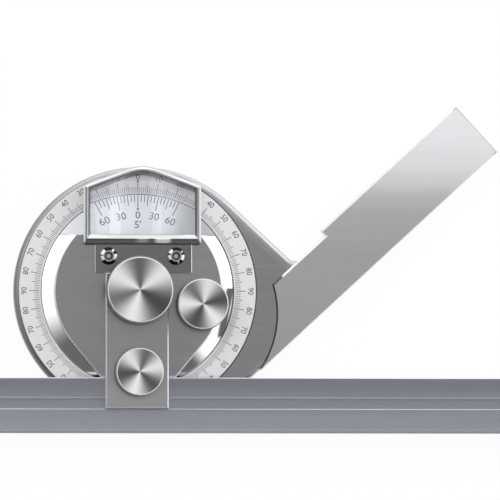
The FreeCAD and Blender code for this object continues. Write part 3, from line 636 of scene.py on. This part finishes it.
def frame_shade(board):
    """Painted shadow lines along the dial and the stock's end, painted shade on the rim, a
    painted highlight on the neck.
    """
    angle, radius = board.polar()
    free = board.step(board.maths("COSINE", angle - math.radians(155)), -0.1, 0.2)
    painted_shadow_line = board.rise_from(radius, 38.3, 38.4) * board.fall_from(radius, 38.75, 39.0)
    painted_shadow_line = painted_shadow_line * (0.6 - free * 0.45)
    painted_rim = board.rise_from(radius, 38.3, 38.5) * free
    painted_rim = painted_rim * (west_side(board, angle) * 0.22 + 0.12)
    painted_neck_highlight = along(board, NECK_TURN, 36.0, 39.5, [(0.0, 1.0), (0.5, 1.15), (1.0, 1.55)])
    painted_neck_highlight = (painted_neck_highlight - 1.0) * (1.0 - free) + 1.0
    return (1.0 - painted_shadow_line) * (1.0 - painted_rim) * painted_neck_highlight * (1.0 - lap_line(board) * 0.75)


def frame_edges(board):
    """Painted highlights on rounded edges: dull towards the west, bright towards the
    north-east.
    """
    return 0.7 - west_side(board, board.polar()[0]) * 0.38


# Graduations


def put(name, bm, finish, body):
    """Graduations as a piece that moves with a body."""
    mesh = bpy.data.meshes.new(name)
    bm.to_mesh(mesh)
    bm.free()
    mesh.materials.append(finish)
    piece = bpy.data.objects.new(name, mesh)
    bpy.context.scene.collection.objects.link(piece)
    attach(piece, body)


def at_radius(degrees, radius, height):
    """Moves the origin out to a radius, in a direction, at a height in metres."""
    turn = Matrix.Rotation(math.radians(degrees), 4, "Z")
    return turn @ Matrix.Translation((radius * MM, 0, height))


def add_tick(bm, degrees, start, end, width, height):
    """A thin raised line from start to end along a radius."""
    size = Matrix.Diagonal((abs(end - start) * MM, width * MM, INK_HEIGHT * MM, 1.0))
    place = at_radius(degrees, (start + end) / 2, height)
    bmesh.ops.create_cube(bm, size=1.0, matrix=place @ size)


def add_dot(bm, degrees, radius, height):
    bmesh.ops.create_cone(
        bm, cap_ends=True, segments=20, radius1=DOT_RADIUS * MM, radius2=DOT_RADIUS * MM,
        depth=INK_HEIGHT * MM, matrix=at_radius(degrees, radius, height),
    )


def add_text(bm, words, degrees, radius, tall, height):
    """Figures with their tops outwards, centred on a point of the dial."""
    curve = bpy.data.curves.new("figures", "FONT")
    curve.body = words
    curve.resolution_u = 3
    curve.extrude = 0.5
    holder = bpy.data.objects.new("figures", curve)
    bpy.context.scene.collection.objects.link(holder)
    bpy.context.view_layer.update()
    solid = bpy.data.meshes.new_from_object(
        holder.evaluated_get(bpy.context.evaluated_depsgraph_get())
    )
    bpy.data.objects.remove(holder)
    xs = [vertex.co.x for vertex in solid.vertices]
    ys = [vertex.co.y for vertex in solid.vertices]
    centre = Matrix.Translation((-(min(xs) + max(xs)) / 2, -(min(ys) + max(ys)) / 2, 0))
    scale = tall * MM / FIGURE_TALL
    size = Matrix.Diagonal((scale * FIGURE_NARROW, scale, INK_HEIGHT * MM, 1.0))
    tops_out = Matrix.Rotation(DOWN, 4, "Z")
    solid.transform(at_radius(degrees, radius, height) @ tops_out @ size @ centre)
    bm.from_mesh(solid)
    bpy.data.meshes.remove(solid)


def tick_size(value, sizes):
    """The largest of the sizes that divides a value."""
    return max(size for size in sizes if value % size == 0)


def dial_reading(degrees):
    """What the dial shows at an angle: 0 to 90 and back, twice round."""
    from_zero = (degrees - ZERO_DIRECTION) % 180
    return from_zero if from_zero <= 90 else 180 - from_zero


def make_dial_marks(finish):
    bm = bmesh.new()
    top = DIAL_FACE + INK_HEIGHT / 2 * MM
    for degrees in range(360):
        size = tick_size(degrees, DIAL_TICK_ENDS)
        end = DIAL_ZERO_END if degrees == ZERO_DIRECTION else DIAL_TICK_ENDS[size]
        add_tick(bm, degrees, DIAL_TICK_START, end, DIAL_TICK_WIDTHS[size], top)
    add_dot(bm, ZERO_DIRECTION, DIAL_ZERO_END, top)
    put("dial_graduations", bm, finish, "frame")
    bm = bmesh.new()
    for degrees in range(0, 360, 10):
        words = str(dial_reading(degrees))
        add_text(bm, words, degrees, DIAL_NUMBER_RADIUS, DIAL_NUMBER_HEIGHT, top)
    put("dial_figures", bm, finish, "frame")


def make_vernier_marks(finish):
    bm = bmesh.new()
    top = VERNIER_FACE + INK_HEIGHT / 2 * MM
    for part in range(-VERNIER_PARTS, VERNIER_PARTS + 1):
        minutes = abs(part) * MINUTES_A_PART
        size = tick_size(minutes, VERNIER_TICK_ENDS)
        degrees = ZERO_DIRECTION - part * VERNIER_SPAN / VERNIER_PARTS
        end = VERNIER_TICK_ENDS[size]
        add_tick(bm, degrees, VERNIER_TICK_START, end, VERNIER_TICK_WIDTH, top)
        if size == 30:
            words = str(minutes)
            add_text(bm, words, degrees, VERNIER_NUMBER_RADIUS, VERNIER_NUMBER_HEIGHT, top)
    add_dot(bm, ZERO_DIRECTION, VERNIER_TICK_ENDS[30], top)
    add_text(bm, "5'", ZERO_DIRECTION, UNIT_RADIUS, VERNIER_NUMBER_HEIGHT, top)
    put("vernier_graduations", bm, finish, "turret")


# Stage, light and camera


def make_floor():
    """White wherever it is seen, with a soft shadow under the instrument."""
    bm = bmesh.new()
    bmesh.ops.create_grid(bm, x_segments=1, y_segments=1, size=FLOOR_SIZE)
    bmesh.ops.translate(bm, verts=bm.verts, vec=(0, 0, -FLOOR_DROP))
    mesh = bpy.data.meshes.new("floor")
    bm.to_mesh(mesh)
    bm.free()
    floor = bpy.data.objects.new("floor", mesh)
    bpy.context.scene.collection.objects.link(floor)
    made, board = material("floor_white")
    seen = board.rays("Is Camera Ray", "Is Glossy Ray", "Is Transmission Ray")
    plain = board.node("ShaderNodeBsdfDiffuse", None, {"Color": grey(FLOOR_TONE)})
    glow = board.node("ShaderNodeEmission", None, {"Color": grey(1.0), "Strength": 1.0})
    mixed = {0: seen * FLOOR_GLOW, 1: plain, 2: glow}
    board.output(board.node("ShaderNodeMixShader", None, mixed))
    mesh.materials.append(made)


def make_world():
    """A white studio with a dim ceiling and dark cards to the south and the west."""
    world = bpy.data.worlds.new("studio")
    world.use_nodes = True
    bpy.context.scene.world = world
    board = Board(world.node_tree)
    x, y, z = board.split(board.node("ShaderNodeTexCoord", output="Generated"))
    flat = board.maths("SQRT", x * x + y * y + 0.0001)
    south = (x * math.cos(SOUTH_CARD_AIM) + y * math.sin(SOUTH_CARD_AIM)) / flat
    west = (x * -1.0) / flat
    east = board.step(x, -0.1, 0.1)
    south_card = board.step(south, east * 0.35 + 0.17, 0.67) * board.step(flat, 0.25, 0.4)
    west_card = board.step(west, 0.82, 0.93) * board.step(flat, 0.72, 0.88)
    ceiling = 1.0 - board.step(flat, 0.22, 0.37)
    level = (1.0 - south_card * SOUTH_CARD_DEPTH) * (1.0 - west_card * WEST_CARD_DEPTH)
    level = level * (1.0 - ceiling * CEILING_DEPTH) * STUDIO_LEVEL
    seen = board.rays("Is Camera Ray")
    level = level * (1.0 - seen) + seen
    sky = board.node("ShaderNodeBackground", None, {"Color": grey(1.0), "Strength": level})
    board.node("ShaderNodeOutputWorld", None, {"Surface": sky})


def make_lamp(name, place, size, power):
    """A round soft lamp that faces the instrument."""
    lamp = bpy.data.lights.new(name, "AREA")
    lamp.shape = "DISK"
    lamp.size = size
    lamp.energy = power
    holder = bpy.data.objects.new(name, lamp)
    holder.location = place
    holder.rotation_euler = Vector(place).to_track_quat("Z", "Y").to_euler()
    bpy.context.scene.collection.objects.link(holder)


def make_camera():
    """Looks down a little from the left, with the dial's centre where the photo has it."""
    centre_x = (PICTURE / 2 - DIAL_CENTRE_PIXEL[0]) * MM_PER_PIXEL
    centre_y = (DIAL_CENTRE_PIXEL[1] - PICTURE / 2) * MM_PER_PIXEL
    target = Vector((centre_x * MM, centre_y * MM, DIAL_FACE))
    lean = [math.tan(math.radians(angle)) for angle in CAMERA_TILT]
    away = Vector((-lean[0], -lean[1], 1.0)).normalized() * CAMERA_DISTANCE
    camera = bpy.data.cameras.new("camera")
    camera.type = "PERSP"
    camera.sensor_width = SENSOR
    camera.lens = SENSOR * CAMERA_DISTANCE / (PICTURE * MM_PER_PIXEL * MM)
    holder = bpy.data.objects.new("camera", camera)
    holder.location = target + away
    backward = away.normalized()
    right = Vector((0, 1, 0)).cross(backward).normalized()
    upward = backward.cross(right)
    turn = Matrix((right, upward, backward)).transposed()
    holder.rotation_euler = turn.to_euler()
    bpy.context.scene.collection.objects.link(holder)
    bpy.context.scene.camera = holder


# Dressing the pieces


def dress(finish, *nodes):
    for node in nodes:
        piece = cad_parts[node]
        piece.data.materials.clear()
        piece.data.materials.append(finish)


def dress_knobs():
    """A spun finish with painted highlight fans, centred on each knob."""
    for node, (edge, directions) in KNOB_FACES.items():
        low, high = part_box(node)
        centre = (low + high) / 2 / MM
        finish = spun_face(node + "_spun", centre.xy, directions, edge, high.z / MM)
        dress(finish, node)


dress(
    ground_metal(
        "frame_ground", STEEL, turn=FRAME_GRIND, shade=frame_shade, painted_edge_light=frame_edges
    ),
    "frame",
)
dress(ground_metal("cap_ground", STEEL, turn=FRAME_GRIND), "back_cap")
dress(
    ground_metal(
        "stock_ground", STOCK_STEEL, turn=ARM_TURN, grain=0.04,
        shade=stock_shade, painted_edge_light=stock_edges, metallic=0.3,
    ),
    "stock",
)
dress(
    ground_metal("turret_ground", STEEL, turn=UP, grain=0.03, shade=turret_shade),
    "turret_plate",
)
dress(ground_metal("bracket_ground", BRACKET_STEEL), "window_bracket")
dress(
    ground_metal("clamp_ground", STEEL, turn=UP, grain=0.04, shade=clamp_shade),
    "clamp_bar",
)
dress(
    ground_metal(
        "blade_ground", BLADE_STEEL, grain=0.04, shade=blade_shade, metallic=0.8
    ),
    "blade",
)
dress(
    polished_metal("turret_polish_painted_reflection", POLISH, roughness=0.05, shade=knob_mirrored),
    "turret_disc",
)
dress(banded_chrome("bezel_polish_painted_reflection", *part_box("window_bezel")), "window_bezel")
dress(satin_chrome("dial_chrome", DIAL_CHROME, dial_shade), "dial_ring")
dress(satin_chrome("vernier_chrome", VERNIER_CHROME, vernier_shade), "vernier_plate")
dress(black_oxide("screw_black", *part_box("bracket_screws")), "bracket_screws")
dress_knobs()
dress(
    turned_metal("inner_turned", INNER_STEEL, roughness=0.3, groove=0.2, depth=0.003),
    "centre_stud", "clamp_stud", "pinion_shaft", "ring_gear", "knob_washer",
    "stock_screws", "stock_dowels", "dial_screws", "gear_screws", "turret_screws",
    "turret_dowels", "bezel_screws", "knob_grub_screw", "lift_springs",
)
dress(
    turned_metal("bush_bronze", BRONZE, roughness=0.32, groove=0.2, depth=0.003),
    "pivot_bush", "thrust_washer", "pinion_bush",
)
dress(lens_glass("lens_clear", *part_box("window_bezel")), "magnifier_lens")

black = ink("graduation_black")
make_dial_marks(black)
make_vernier_marks(black)

make_floor()
make_world()
for lamp_name, (place, size, power) in LAMPS.items():
    make_lamp(lamp_name, place, size, power)
make_camera()
bpy.context.scene.view_settings.view_transform = "Standard"
